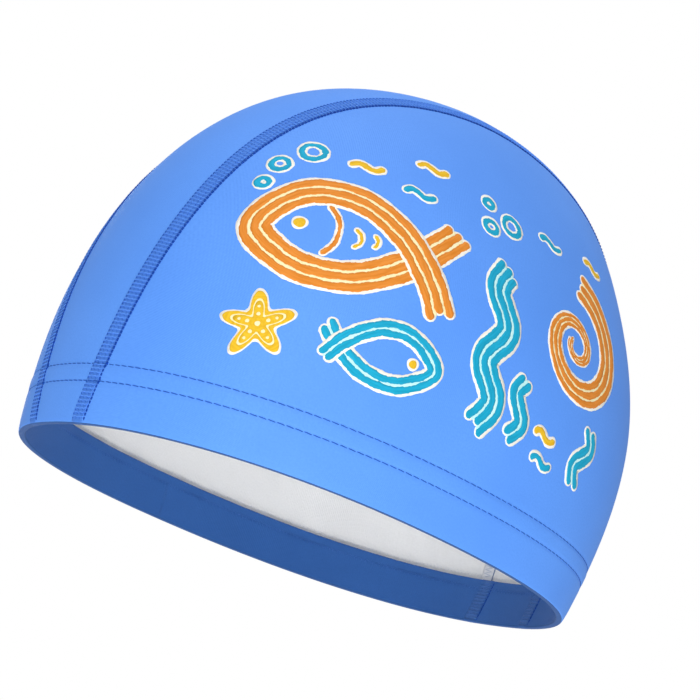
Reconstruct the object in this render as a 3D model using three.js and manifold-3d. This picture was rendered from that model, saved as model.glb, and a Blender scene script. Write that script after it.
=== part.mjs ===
// Swim cap of coated stretch knit: two side panels and a narrow centre strip, two flat seams and a turned-up hem.
// Millimetres, +Z up. The forehead is at -Y, the nape at +Y, and the wearer's left is +X.
// The origin is the middle of the rim opening. The cap is made about its own axis, then leaned back as it is worn.
import * as THREE from "three";
import { mergeVertices } from "three/addons/utils/BufferGeometryUtils.js";
import Module from "manifold-3d";

// Form of the cap
const RIM_LENGTH = 184;
const RIM_WIDTH = 155;
const CROWN_HEIGHT = 151.5;
const WORN_TILT_DEG = 22;

// Width of the centre strip, from seam line to seam line
const STRIP_FRONT = 28;
const STRIP_TOP = 62;
const STRIP_BACK = 27.5;

// Cloth and sewing
const PANEL_WALL = 1.0;
const HEM_WALL = 1.0;
const HEM_DEPTH = 16;
const SEAM_WIDTH = 5.6;
const SEAM_THICKNESS = 0.7;
const SEAM_WEB = 0.8;
const RIB_RISE = 0.5;
const PIECE_GAP = 0.3;

// The rim's outline: its share in front of the axis, and the power of its curve, where 2 is an ellipse
const FRONT_SHARE = 0.465;
const RIM_POWER = 2.2;
const ROUND_POWER = 2;

// The crown from the rim, row 0, to the top, row 4, at equal steps of a quarter turn.
// length and width are shares of the rim's own, before they close in with the quarter turn.
// shift moves the section towards the nape, as a share of RIM_LENGTH.
const CROWN_ROWS = [
  { length: 1.0, width: 1.0, shift: 0.0 },
  { length: 1.12, width: 1.14, shift: 0.0165 },
  { length: 1.225, width: 1.13, shift: 0.037 },
  { length: 1.345, width: 1.09, shift: 0.0915 },
  { length: 1.29, width: 1.1, shift: 0.144 },
];

// Fineness of the faceted surfaces
const ARC_STEPS = 36;
const SIDE_ROWS = 12;
const STRIP_COLUMNS = 6;
const HEM_STATIONS = 76;
const HIT_HALVINGS = 40;
const WELD = 1e-3;

// Worked out from the sizes above
const PANEL_FOOT = HEM_WALL + PIECE_GAP;
const HEM_OUTSIDE = PANEL_WALL + PIECE_GAP;
const HEM_INSIDE = HEM_OUTSIDE + HEM_WALL;
const HEM_ROUND = HEM_WALL * 0.35;
const PANEL_EDGE = SEAM_WEB / 2 + PIECE_GAP;
const FAR_AWAY = 2 * (RIM_LENGTH + RIM_WIDTH + CROWN_HEIGHT);

const wasm = await Module();
wasm.setup();

// Value of one column of the crown's rows at a share of the quarter turn, on a smooth curve through the rows.
function crownValue(column, share) {
  const last = CROWN_ROWS.length - 1;
  const at = (row) => CROWN_ROWS[Math.min(Math.max(row, 0), last)][column];
  const slope = (row) => (at(row + 1) - at(row - 1)) / (row > 0 && row < last ? 2 : 1);
  const place = Math.min(Math.max(share, 0), 1) * last;
  const row = Math.min(Math.floor(place), last - 1);
  const f = place - row;
  const g = 1 - f;
  const fromRows = at(row) * (1 + 2 * f) * g * g + at(row + 1) * (1 + 2 * g) * f * f;
  return fromRows + slope(row) * f * g * g - slope(row + 1) * f * f * g;
}

// Whether a point lies within the cap's outer face moved inward by inset, or outward if inset is negative.
function within(point, inset) {
  const climb = point.z / (CROWN_HEIGHT - inset);
  if (climb >= 1) {
    return false;
  }
  const turn = Math.asin(Math.max(climb, 0));
  const share = turn / (Math.PI / 2);
  const closing = Math.cos(turn);
  const y = point.y - crownValue("shift", share) * RIM_LENGTH;
  const reach = RIM_LENGTH * (y > 0 ? 1 - FRONT_SHARE : FRONT_SHARE);
  const halfLength = (reach * crownValue("length", share) - inset) * closing;
  const halfWidth = ((RIM_WIDTH / 2) * crownValue("width", share) - inset) * closing;
  const power = RIM_POWER + (ROUND_POWER - RIM_POWER) * climb;
  return (Math.abs(point.x) / halfWidth) ** power + (Math.abs(y) / halfLength) ** power < 1;
}

// Where a ray from a point inside the cap meets the face at that inset.
function hit(origin, direction, inset) {
  let near = 0;
  let far = FAR_AWAY;
  for (let i = 0; i < HIT_HALVINGS; i += 1) {
    const middle = (near + far) / 2;
    if (within(origin.clone().addScaledVector(direction, middle), inset)) {
      near = middle;
    } else {
      far = middle;
    }
  }
  return origin.clone().addScaledVector(direction, near);
}

// Half width of the centre strip where the arc over the head stands at that angle, 0 in front and pi behind.
function stripHalf(angle) {
  const end = angle < Math.PI / 2 ? STRIP_FRONT : STRIP_BACK;
  return (end + (STRIP_TOP - end) * Math.sin(angle)) / 2;
}

// Point of the cloth on the arc over the head, at a distance x to the side of the middle.
function arcPoint(angle, x, inset) {
  const direction = new THREE.Vector3(0, -Math.cos(angle), Math.sin(angle));
  return hit(new THREE.Vector3(x, 0, PANEL_FOOT), direction, inset);
}

// Point beside a seam line: side is 1 or -1, and offset counts away from the middle of the cap.
function seamPoint(side, angle, offset, inset) {
  return arcPoint(angle, side * (stripHalf(angle) + offset), inset);
}

// Angle in plan of the spot where a seam line reaches the rim.
function seamFoot(side, angle) {
  const foot = seamPoint(side, angle, 0, HEM_INSIDE);
  return Math.atan2(foot.y, foot.x);
}

// Equal steps from one value to another, both ends with them.
function steps(from, to, count) {
  return Array.from({ length: count + 1 }, (_, i) => from + ((to - from) * i) / count);
}

// Closed body from points and triangles: like points are merged, and its faces are turned outward.
function closedBody(points, triangles) {
  const raw = new THREE.BufferGeometry();
  raw.setAttribute("position", new THREE.Float32BufferAttribute(points.flatMap((p) => p.toArray()), 3));
  raw.setIndex(triangles.flat());
  const merged = mergeVertices(raw, WELD);
  const place = merged.getAttribute("position");
  const index = merged.getIndex();
  const corner = (i) => new THREE.Vector3().fromBufferAttribute(place, i);
  const kept = [];
  let volume = 0;
  for (let i = 0; i < index.count; i += 3) {
    const [a, b, c] = [index.getX(i), index.getX(i + 1), index.getX(i + 2)];
    if (a !== b && b !== c && c !== a) {
      kept.push([a, b, c]);
      volume += corner(a).dot(corner(b).cross(corner(c)));
    }
  }
  merged.setIndex(kept.flatMap(([a, b, c]) => (volume > 0 ? [a, b, c] : [a, c, b])));
  return merged;
}

// Wall of cloth between two like grids of points, outer and inner.
function clothWall(outer, inner) {
  const rows = outer.length;
  const columns = outer[0].length;
  const points = [...outer.flat(), ...inner.flat()];
  const triangles = [];
  const outside = (r, c) => r * columns + c;
  const inside = (r, c) => rows * columns + outside(r, c);
  const quad = (a, b, c, d) => triangles.push([a, b, c], [a, c, d]);
  for (let r = 0; r + 1 < rows; r += 1) {
    for (let c = 0; c + 1 < columns; c += 1) {
      quad(outside(r, c), outside(r, c + 1), outside(r + 1, c + 1), outside(r + 1, c));
      quad(inside(r, c), inside(r + 1, c), inside(r + 1, c + 1), inside(r, c + 1));
    }
    quad(outside(r, 0), outside(r + 1, 0), inside(r + 1, 0), inside(r, 0));
    quad(outside(r + 1, columns - 1), outside(r, columns - 1), inside(r, columns - 1), inside(r + 1, columns - 1));
  }
  for (let c = 0; c + 1 < columns; c += 1) {
    quad(outside(0, c + 1), outside(0, c), inside(0, c), inside(0, c + 1));
    quad(outside(rows - 1, c), outside(rows - 1, c + 1), inside(rows - 1, c + 1), inside(rows - 1, c));
  }
  return closedBody(points, triangles);
}

// Centre strip, from the forehead over the top to the nape.
function centreStrip() {
  const face = (inset) =>
    steps(0, Math.PI, ARC_STEPS).map((angle) => {
      const half = stripHalf(angle) - PANEL_EDGE;
      return steps(-half, half, STRIP_COLUMNS).map((x) => arcPoint(angle, x, inset));
    });
  return clothWall(face(0), face(PANEL_WALL));
}

// Side panel: each column of its grid climbs from the rim to the seam, closer together near both edges.
function sidePanel(side) {
  const middle = new THREE.Vector3(0, 0, PANEL_FOOT);
  const face = (inset) => {
    const edge = steps(0, Math.PI, ARC_STEPS).map((angle) => seamPoint(side, angle, PANEL_EDGE, inset));
    const planAngle = (point) => Math.atan2(point.y, side * point.x);
    const plan = steps(planAngle(edge[0]), planAngle(edge[ARC_STEPS]), ARC_STEPS);
    return plan.map((angle, i) => {
      const low = new THREE.Vector3(side * Math.cos(angle), Math.sin(angle), 0);
      const high = edge[i].clone().sub(middle).normalize();
      const spread = low.angleTo(high);
      return steps(0, 1, SIDE_ROWS).map((share) => {
        const eased = (share + (1 - Math.cos(Math.PI * share)) / 2) / 2;
        const axis = low.clone().cross(high).normalize();
        return hit(middle, low.clone().applyAxisAngle(axis, spread * eased), inset);
      });
    });
  };
  return clothWall(face(0), face(PANEL_WALL));
}

// Band that follows a seam line between two angles, with a section of [offset, inset] corners.
// In between it turns where the panels' own facets do.
function seamBand(side, section, from, to) {
  const margin = Math.PI / ARC_STEPS / 4;
  const between = steps(0, Math.PI, ARC_STEPS).filter((angle) => angle > from + margin && angle < to - margin);
  const rings = [from, ...between, to].map((angle) =>
    section.map(([offset, inset]) => seamPoint(side, angle, offset, inset)),
  );
  const size = section.length;
  const lastRing = (rings.length - 1) * size;
  const triangles = [];
  for (let r = 0; r + 1 < rings.length; r += 1) {
    for (let k = 0; k < size; k += 1) {
      const next = (k + 1) % size;
      const [a, b] = [r * size + k, r * size + next];
      triangles.push([a, b, b + size], [a, b + size, a + size]);
    }
  }
  const outline = section.map(([offset, inset]) => new THREE.Vector2(offset, inset));
  for (const [a, b, c] of THREE.ShapeUtils.triangulateShape(outline, [])) {
    const turned = THREE.ShapeUtils.isClockWise(outline);
    const [p, q] = turned ? [b, c] : [c, b];
    triangles.push([a, p, q], [lastRing + a, lastRing + q, lastRing + p]);
  }
  return closedBody(rings.flat(), triangles);
}

// T section of a seam: a flat band of stitches at one face of the cloth, and its web between the panels' edges.
function seamSection(webWidth, webInset, nearFace, farFace) {
  const band = SEAM_WIDTH / 2;
  const web = webWidth / 2;
  const half = [
    [web, webInset],
    [web, nearFace],
    [band, nearFace],
    [band, farFace],
  ];
  return [...half, ...half.map(([offset, inset]) => [-offset, inset]).reverse()];
}

// Angle over the head at which a seam line stands at that height, sought from one end towards the top.
function angleAtHeight(height, end) {
  let low = end;
  let high = Math.PI / 2;
  for (let i = 0; i < HIT_HALVINGS; i += 1) {
    const middle = (low + high) / 2;
    if (seamPoint(1, middle, 0, HEM_INSIDE).z < height) {
      low = middle;
    } else {
      high = middle;
    }
  }
  return high;
}

// Closed mesh as a solid that can be joined.
function toSolid(geometry) {
  const vertProperties = new Float32Array(geometry.getAttribute("position").array);
  const triVerts = new Uint32Array(geometry.getIndex().array);
  return new wasm.Manifold(new wasm.Mesh({ numProp: 3, vertProperties, triVerts }));
}

// Two closed bodies joined into one.
function joined(first, second) {
  const mesh = toSolid(first).add(toSolid(second)).getMesh();
  const geometry = new THREE.BufferGeometry();
  geometry.setAttribute("position", new THREE.BufferAttribute(mesh.vertProperties.slice(), 3));
  geometry.setIndex([...mesh.triVerts]);
  return geometry;
}

// Flat seam: its outer band runs from rim to rim, its inner band stops above the turned-up hem.
function flatSeam(side) {
  const outer = seamSection(SEAM_WEB, PANEL_WALL, -PIECE_GAP, -PIECE_GAP - SEAM_THICKNESS);
  const inner = seamSection(SEAM_WEB / 2, PANEL_WALL / 2, HEM_OUTSIDE, HEM_OUTSIDE + SEAM_THICKNESS);
  const clear = HEM_DEPTH + PIECE_GAP;
  const outerBand = seamBand(side, outer, 0, Math.PI);
  const innerBand = seamBand(side, inner, angleAtHeight(clear, 0), angleAtHeight(clear, Math.PI));
  return joined(outerBand, innerBand);
}

// Stations round the hem: an angle in plan, and how far a rib stands proud there.
function hemStations() {
  const radius = (RIM_LENGTH + RIM_WIDTH) / 4;
  const top = SEAM_WIDTH / 2 / radius;
  const foot = top + RIB_RISE / radius;
  const clear = foot + RIB_RISE / radius;
  const feet = [1, -1].flatMap((side) => [seamFoot(side, 0), seamFoot(side, Math.PI)]);
  const stations = feet.flatMap((angle) => [
    { angle: angle - foot, proud: 0 },
    { angle: angle - top, proud: RIB_RISE },
    { angle: angle + top, proud: RIB_RISE },
    { angle: angle + foot, proud: 0 },
  ]);
  for (const angle of steps(-Math.PI, Math.PI, HEM_STATIONS).slice(1)) {
    if (feet.every((spot) => Math.abs(spot - angle) > clear)) {
      stations.push({ angle, proud: 0 });
    }
  }
  return stations.sort((a, b) => a.angle - b.angle);
}

// Turned-up hem: a fold under the panels' lower edges and a facing inside them, ribbed where the seams run on.
function turnedHem() {
  const stations = hemStations();
  const profile = (proud) => [
    [0, HEM_WALL],
    [0, HEM_ROUND],
    [HEM_ROUND, 0],
    [HEM_INSIDE - HEM_ROUND, 0],
    [HEM_INSIDE, HEM_ROUND],
    [HEM_INSIDE + proud, HEM_ROUND + HEM_WALL],
    [HEM_INSIDE + proud, HEM_DEPTH / 2],
    [HEM_INSIDE + proud, HEM_DEPTH],
    [HEM_OUTSIDE, HEM_DEPTH],
    [HEM_OUTSIDE, HEM_DEPTH / 2],
    [HEM_OUTSIDE, HEM_WALL],
  ];
  const rings = stations.map(({ angle, proud }) => {
    const direction = new THREE.Vector3(Math.cos(angle), Math.sin(angle), 0);
    return profile(proud).map(([inset, height]) => hit(new THREE.Vector3(0, 0, height), direction, inset));
  });
  const size = rings[0].length;
  const triangles = [];
  rings.forEach((_, r) => {
    const after = (r + 1) % rings.length;
    for (let k = 0; k < size; k += 1) {
      const next = (k + 1) % size;
      triangles.push([r * size + k, r * size + next, after * size + next]);
      triangles.push([r * size + k, after * size + next, after * size + k]);
    }
  });
  return closedBody(rings.flat(), triangles);
}

// Named sub-part with a finish of its own.
function piece(name, geometry, color, roughness) {
  geometry.computeVertexNormals();
  const mesh = new THREE.Mesh(geometry, new THREE.MeshStandardMaterial({ color, roughness, metalness: 0 }));
  mesh.name = name;
  return mesh;
}

const swimCap = new THREE.Group();
swimCap.name = "swim_cap";
swimCap.rotation.x = -THREE.MathUtils.degToRad(WORN_TILT_DEG);
swimCap.add(
  piece("centre_panel", centreStrip(), 0x5c95f7, 0.72),
  piece("left_panel", sidePanel(1), 0x649eff, 0.72),
  piece("right_panel", sidePanel(-1), 0x649eff, 0.72),
  piece("left_seam", flatSeam(1), 0x3f74c8, 0.8),
  piece("right_seam", flatSeam(-1), 0x3f74c8, 0.8),
  piece("turned_hem", turnedHem(), 0x2f62b0, 0.75),
);

export default swimCap;
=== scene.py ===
"""Swim cap of coated stretch knit, shaped as a head fills it: cloth, flat seams, turned-up hem and print."""

import logging
import math
from dataclasses import dataclass, field
from enum import Enum
from functools import cached_property

import bpy
import numpy as np
from mathutils import Matrix, Vector


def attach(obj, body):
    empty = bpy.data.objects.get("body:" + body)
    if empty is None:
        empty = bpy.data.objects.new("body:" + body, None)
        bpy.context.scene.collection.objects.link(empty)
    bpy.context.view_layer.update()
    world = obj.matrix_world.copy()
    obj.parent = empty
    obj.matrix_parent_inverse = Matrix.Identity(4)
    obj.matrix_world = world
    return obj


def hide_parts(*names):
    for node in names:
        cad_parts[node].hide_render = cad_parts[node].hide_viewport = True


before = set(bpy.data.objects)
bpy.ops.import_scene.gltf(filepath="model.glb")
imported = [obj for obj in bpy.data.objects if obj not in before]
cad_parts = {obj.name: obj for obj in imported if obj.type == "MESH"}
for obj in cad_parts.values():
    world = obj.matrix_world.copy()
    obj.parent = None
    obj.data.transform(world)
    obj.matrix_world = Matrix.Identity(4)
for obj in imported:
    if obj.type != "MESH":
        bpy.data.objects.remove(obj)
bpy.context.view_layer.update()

LOG = logging.getLogger("swim_cap")
MM = 0.001

Array = np.ndarray
Point = tuple[float, float]
Knots = list[Point]
Faces = list[tuple[int, ...]]
ARC_POINTS = 721
RING_POINTS = 1441


class Side(Enum):
    """Side of the head, as the sign of X."""

    LEFT = 1
    RIGHT = -1


class Ink(Enum):
    """Colours of the print: three of the motifs, two of the lines in them, and the ground's."""

    ORANGE = "print_orange"
    TEAL = "print_teal"
    YELLOW = "print_yellow"
    CREAM = "print_cream"
    PALE = "print_pale"
    WHITE = "print_white"

    @property
    def slot(self) -> str:
        """The record's slot for the ink."""
        return "print_cream" if self in (Ink.PALE, Ink.WHITE) else self.value

    @property
    def line(self) -> "Ink":
        """The pale ink of the lines between this one's lanes."""
        return Ink.PALE if self is Ink.TEAL else Ink.CREAM


@dataclass(frozen=True)
class CrownRow:
    """One section of the crown, as shares of the rim's own sizes."""

    length: float
    width: float
    shift: float


CROWN_ROWS = (
    CrownRow(length=1.0, width=1.0, shift=0.0),
    CrownRow(length=1.12, width=1.14, shift=0.0165),
    CrownRow(length=1.225, width=1.13, shift=0.037),
    CrownRow(length=1.345, width=1.09, shift=0.0915),
    CrownRow(length=1.29, width=1.1, shift=0.144),
)


def unit(vectors: Array) -> Array:
    """Vectors scaled to length one, along the last axis."""
    return vectors / np.maximum(np.linalg.norm(vectors, axis=-1, keepdims=True), 1e-12)


def vector(x: Array, y: Array, z: Array) -> Array:
    """Points from three coordinates of any shapes that fit each other."""
    return np.stack(np.broadcast_arrays(np.asarray(x, float), y, z), -1)


def pairs(u: Array, v: Array) -> Array:
    """Pairs of two coordinates of any shapes that fit each other."""
    return np.stack(np.broadcast_arrays(u, v), -1)


def travelled(points: Array) -> Array:
    """Distance along a row of points from its first, in mm."""
    legs = np.linalg.norm(np.diff(points, axis=0), axis=-1)
    return np.concatenate([[0.0], np.cumsum(legs)])


@dataclass(frozen=True)
class CrownForm:
    """The worn cap's outer face, in mm in the cap's own frame, where Z runs along its axis from the rim.

    The sizes are the ones that the solids have.
    """

    rim_length: float = 184.0
    rim_width: float = 155.0
    height: float = 151.5
    tilt_deg: float = 22.0
    front_share: float = 0.465
    rim_power: float = 2.2
    strip_front: float = 28.0
    strip_top: float = 62.0
    strip_back: float = 27.5
    hem_depth: float = 16.0
    fold_radius: float = 1.15
    fold_power: float = 3.6
    fold_corner: float = 0.74 * math.pi
    halvings: int = 28

    @property
    def inner_point(self) -> Array:
        """A point inside the cap."""
        return np.array([0.0, 0.0, self.height / 3])

    def column(self, name: str, share: Array) -> Array:
        """One column of the crown's rows on a smooth curve through them.

        Args:
            name: Field of CrownRow.
            share: Share of the quarter turn from rim to top, 0 to 1.

        Returns:
            The column's value at each share.
        """
        rows = np.array([getattr(row, name) for row in CROWN_ROWS])
        slopes = np.gradient(rows)
        last = len(rows) - 1
        place = np.clip(share, 0, 1) * last
        low = np.minimum(place.astype(int), last - 1)
        f = place - low
        g = 1 - f
        curve = rows[low] * (1 + 2 * f) * g * g + rows[low + 1] * (1 + 2 * g) * f * f
        return curve + slopes[low] * f * g * g - slopes[low + 1] * f * f * g

    def within(self, points: Array, inset: Array) -> Array:
        """Tests which points lie within the outer face moved inward.

        Args:
            points: Points in the cap's frame.
            inset: How far the face is moved inward, in mm.

        Returns:
            True for each point inside.
        """
        climb = points[..., 2] / (self.height - inset)
        turn = np.arcsin(np.clip(climb, 0, 1))
        share = turn / (math.pi / 2)
        closing = np.maximum(np.cos(turn), 1e-9)
        y = points[..., 1] - self.column("shift", share) * self.rim_length
        reach = self.rim_length * np.where(y > 0, 1 - self.front_share, self.front_share)
        half_length = (reach * self.column("length", share) - inset) * closing
        half_width = (self.rim_width / 2 * self.column("width", share) - inset) * closing
        power = self.rim_power + (2 - self.rim_power) * np.clip(climb, 0, 1)
        spread = (np.abs(points[..., 0]) / half_width) ** power + (np.abs(y) / half_length) ** power
        return (spread < 1) & (climb < 1)

    def hit(self, origin: Array, direction: Array, inset: Array = 0.0) -> Array:
        """Where rays from inside the cap meet the face at that inset.

        Args:
            origin: Points inside the cap.
            direction: Unit vectors.
            inset: Depth below the outer face, negative above it.

        Returns:
            Points on the face.
        """
        origin, direction = np.broadcast_arrays(origin, direction)
        shape = np.broadcast_shapes(origin.shape[:-1], np.shape(inset))
        near = np.zeros(shape)
        far = np.full(shape, 2 * self.rim_length)
        for _ in range(self.halvings):
            middle = (near + far) / 2
            inner = self.within(origin + direction * middle[..., None], inset)
            near = np.where(inner, middle, near)
            far = np.where(inner, far, middle)
        return origin + direction * near[..., None]

    def strip_half(self, angle: Array) -> Array:
        """Half width of the centre strip at an angle over the head, 0 in front and pi behind."""
        end = np.where(angle < math.pi / 2, self.strip_front, self.strip_back)
        return (end + (self.strip_top - end) * np.sin(angle)) / 2

    def arc_point(self, angle: Array, x: Array, inset: Array = 0.0) -> Array:
        """Points on the arc over the head, at a distance x to the side of its middle."""
        direction = vector(0.0, -np.cos(angle), np.sin(angle))
        return self.hit(vector(x, 0.0, self.fold_radius), direction, inset)

    def ring_point(self, plan: Array, height: Array, inset: Array = 0.0) -> Array:
        """Points at a plan angle round the cap and a height over the rim."""
        return self.hit(vector(0.0, 0.0, height), vector(np.cos(plan), np.sin(plan), 0.0), inset)

    def fold(self, turn: Array, lift: Array = 0.0) -> tuple[Array, Array]:
        """Section of the pressed fold at the rim, a circle drawn out into its corners.

        Args:
            turn: Angle round the fold, 0 on the inside of the cap, pi on the outside.
            lift: Height over the cloth.

        Returns:
            Insets below the outer face, and heights over the rim.
        """
        across, down = np.cos(turn), np.sin(turn)
        power = 2 / self.fold_power
        reach = self.fold_radius + lift
        inset = self.fold_radius + reach * np.sign(across) * np.abs(across) ** power
        return inset, self.fold_radius - reach * np.maximum(down, 0) ** power

    def over_angle(self, points: Array) -> Array:
        """Angle over the head at which points stand, 0 in front and pi behind."""
        return np.arctan2(np.maximum(points[..., 2] - self.fold_radius, 0.0), -points[..., 1])

    def seam_distance(self, points: Array) -> Array:
        """Distance of points from the nearer seam line, across it, in mm."""
        return np.abs(np.abs(points[..., 0]) - self.strip_half(self.over_angle(points)))

    def to_world(self, points: Array) -> Array:
        """Points of the cap's own frame in the row frame, in metres, leaned back as worn."""
        lean = Matrix.Rotation(-math.radians(self.tilt_deg), 3, "X")
        return points @ np.array(lean).T * MM


@dataclass(frozen=True)
class ClothRelief:
    """How far sewing lifts or sinks the outer face, in mm."""

    form: CrownForm
    hem_rows: tuple[float, float] = (12.5, 17.7)
    hem_rise: float = 0.18
    groove_depth: float = 0.26
    groove_width: float = 0.6
    pucker: float = 0.04
    pucker_reach: float = 5.0
    pucker_pitch: float = 7.5
    fade_above: float = 1.5
    fade_length: float = 3.5
    rise_length: float = 4.0
    wave_share: float = 0.6
    wave_reach: float = 4.0

    def at(self, points: Array) -> Array:
        """Works out how far sewing moves the outer face.

        Args:
            points: Points in the cap's frame.

        Returns:
            The face's lift at each point, in mm.
        """
        height = points[..., 2]
        fade = np.clip((self.hem_rows[1] + self.fade_above - height) / self.fade_length, 0, 1)
        lift = self.hem_rise * fade * fade * (3 - 2 * fade) * np.clip(height / self.rise_length, 0, 1)
        for row in self.hem_rows:
            lift = lift - self.groove_depth * np.exp(-(((height - row) / self.groove_width) ** 2))
        along = self.form.over_angle(points) * self.form.height / self.pucker_pitch
        gather = np.sin(2 * math.pi * along + 1.7 * np.sin(along))
        lift = lift + self.pucker * gather * np.exp(-self.form.seam_distance(points) / self.pucker_reach)
        turn = np.arctan2(points[..., 1], points[..., 0]) * self.form.rim_width / 2 / self.pucker_pitch
        waves = np.sin(2 * math.pi * turn + 2.1 * np.sin(turn * 0.7))
        middle = sum(self.hem_rows) / 2
        near_rows = np.exp(-(((height - middle) / self.wave_reach) ** 2))
        return lift + self.pucker * self.wave_share * waves * near_rows


def linear(colour: str) -> tuple[float, float, float, float]:
    """Linear RGBA of an sRGB hex value such as "66a0fb"."""
    channels = [int(colour[i : i + 2], 16) / 255 for i in (0, 2, 4)]
    red, green, blue = (c / 12.92 if c <= 0.04045 else ((c + 0.055) / 1.055) ** 2.4 for c in channels)
    return (red, green, blue, 1.0)


def add_node(
    tree: bpy.types.NodeTree, kind: str, inputs: dict | None = None, **settings: object
) -> bpy.types.Node:
    """Adds one node.

    Args:
        tree: The node tree.
        kind: Node type without its "ShaderNode" prefix.
        inputs: Value or output socket for each input, by name or number.
        **settings: Attributes of the node.

    Returns:
        The new node.
    """
    made = tree.nodes.new(f"ShaderNode{kind}")
    for name, value in settings.items():
        setattr(made, name, value)
    for key, value in (inputs or {}).items():
        if isinstance(value, bpy.types.NodeSocket):
            tree.links.new(value, made.inputs[key])
        else:
            made.inputs[key].default_value = value
    return made


def calculate(tree: bpy.types.NodeTree, operation: str, *values: object) -> bpy.types.NodeSocket:
    """Result of a math node on values or sockets."""
    return add_node(tree, "Math", dict(enumerate(values)), operation=operation).outputs[0]


def noise(
    tree: bpy.types.NodeTree, place: bpy.types.NodeSocket, scale: float, detail: float
) -> bpy.types.NodeSocket:
    """Value of a cloudy noise at that place."""
    return add_node(tree, "TexNoise", {"Vector": place, "Scale": scale, "Detail": detail}).outputs[0]


def stretched(
    tree: bpy.types.NodeTree, value: bpy.types.NodeSocket, low: float, high: float
) -> bpy.types.NodeSocket:
    """The value's share of the way from low to high, 0 to 1."""
    return add_node(tree, "MapRange", {0: value, 1: low, 2: high, 3: 0.0, 4: 1.0}).outputs[0]


def blended(
    tree: bpy.types.NodeTree, share: bpy.types.NodeSocket, low: str, high: str
) -> bpy.types.NodeSocket:
    """Colour between two sRGB hex values, at that share."""
    inputs = {0: share, 6: linear(low), 7: linear(high)}
    return add_node(tree, "Mix", inputs, data_type="RGBA").outputs[2]


def bumped(
    tree: bpy.types.NodeTree, height: bpy.types.NodeSocket, relief_mm: float, strength: float = 0.5
) -> bpy.types.NodeSocket:
    """Normals of a relief of that depth."""
    inputs = {"Height": height, "Distance": relief_mm * MM, "Strength": strength}
    return add_node(tree, "Bump", inputs).outputs[0]


def new_material(name: str) -> tuple[bpy.types.Material, bpy.types.NodeTree]:
    """Empty node material and its tree."""
    material = bpy.data.materials.new(name)
    material.use_nodes = True
    material.node_tree.nodes.clear()
    return material, material.node_tree


def finish_material(tree: bpy.types.NodeTree, colour: object, normal: object, **surface: object) -> None:
    """Ends a tree in a Principled shader with these values on its sockets.

    Args:
        tree: The node tree.
        colour: Output socket of the colour.
        normal: Output socket of the bump.
        **surface: Values or output sockets by socket name, with spaces as underscores.
    """
    inputs = {"Base Color": colour, "Normal": normal}
    inputs.update({key.replace("_", " "): value for key, value in surface.items()})
    shader = add_node(tree, "BsdfPrincipled", inputs)
    add_node(tree, "OutputMaterial", {"Surface": shader.outputs[0]})


@dataclass(frozen=True)
class StretchKnit:
    """Warp knit of polyamide and elastane, thinly coated: an even face with fine ribs and a soft sheen.

    The ribs are 0.6 mm apart, as on the real cloth, and show as a faint grain.
    """

    name: str
    colour: str
    shade: str
    rib_mm: float = 0.6
    course_mm: float = 0.45
    relief_mm: float = 0.02
    roughness: float = 0.62
    cloud_scale: float = 28.0
    yarn_scale: float = 1.6

    def make(self) -> bpy.types.Material:
        """The material, on meshes whose UV map is in mm."""
        material, tree = new_material(self.name)
        uv = add_node(tree, "UVMap").outputs[0]
        parts = add_node(tree, "SeparateXYZ", {0: uv})
        rib = calculate(tree, "MULTIPLY", parts.outputs[0], 2 * math.pi / self.rib_mm)
        course = calculate(tree, "MULTIPLY", parts.outputs[1], 2 * math.pi / self.course_mm)
        zigzag = calculate(tree, "ADD", course, calculate(tree, "MULTIPLY", rib, 0.5))
        rib_wave = calculate(tree, "SINE", rib)
        grain = calculate(tree, "MULTIPLY_ADD", calculate(tree, "SINE", zigzag), 0.5, rib_wave)
        place = add_node(tree, "TexCoord").outputs["Object"]
        cloud = noise(tree, place, self.cloud_scale, 3.0)
        yarn = noise(tree, uv, self.yarn_scale, 2.0)
        share = stretched(tree, calculate(tree, "MULTIPLY", cloud, yarn), 0.12, 0.42)
        finish_material(
            tree,
            blended(tree, share, self.shade, self.colour),
            bumped(tree, grain, self.relief_mm, 0.6),
            Roughness=self.roughness,
            Specular_IOR_Level=0.35,
            IOR=1.5,
        )
        return material


@dataclass(frozen=True)
class SewingThread:
    """Textured polyester thread, twisted from two plies: a slight gloss broken by the twist."""

    name: str
    colour: str
    shade: str
    twist_mm: float = 0.45
    fleck_scale: float = 700.0
    roughness: float = 0.65

    def make(self) -> bpy.types.Material:
        """The material, patterned in the row frame."""
        material, tree = new_material(self.name)
        place = add_node(tree, "TexCoord").outputs["Object"]
        inputs = {"Vector": place, "Scale": math.pi / 10 / (self.twist_mm * MM), "Distortion": 1.5}
        twist = add_node(tree, "TexWave", inputs, bands_direction="DIAGONAL")
        fleck = noise(tree, place, self.fleck_scale, 2.0)
        finish_material(
            tree,
            blended(tree, fleck, self.shade, self.colour),
            bumped(tree, twist.outputs[1], 0.05),
            Roughness=self.roughness,
            Specular_IOR_Level=0.2,
        )
        return material


@dataclass(frozen=True)
class PrintInk:
    """Water-based ink pressed on the knit through a screen: matt, grained and streaked like crayon."""

    name: str
    colour: str
    streak: str
    roughness: float = 0.7

    def make(self) -> bpy.types.Material:
        """The material, on meshes whose UV map runs along and across each stroke, in mm."""
        material, tree = new_material(self.name)
        uv = add_node(tree, "UVMap").outputs[0]
        pull = add_node(tree, "Mapping", {"Vector": uv, "Scale": (0.16, 1.3, 1.0)}).outputs[0]
        share = stretched(tree, noise(tree, pull, 1.0, 3.0), 0.35, 0.65)
        finish_material(
            tree,
            blended(tree, share, self.streak, self.colour),
            bumped(tree, noise(tree, uv, 1.8, 3.0), 0.05),
            Roughness=self.roughness,
            Specular_IOR_Level=0.25,
        )
        return material


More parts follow.
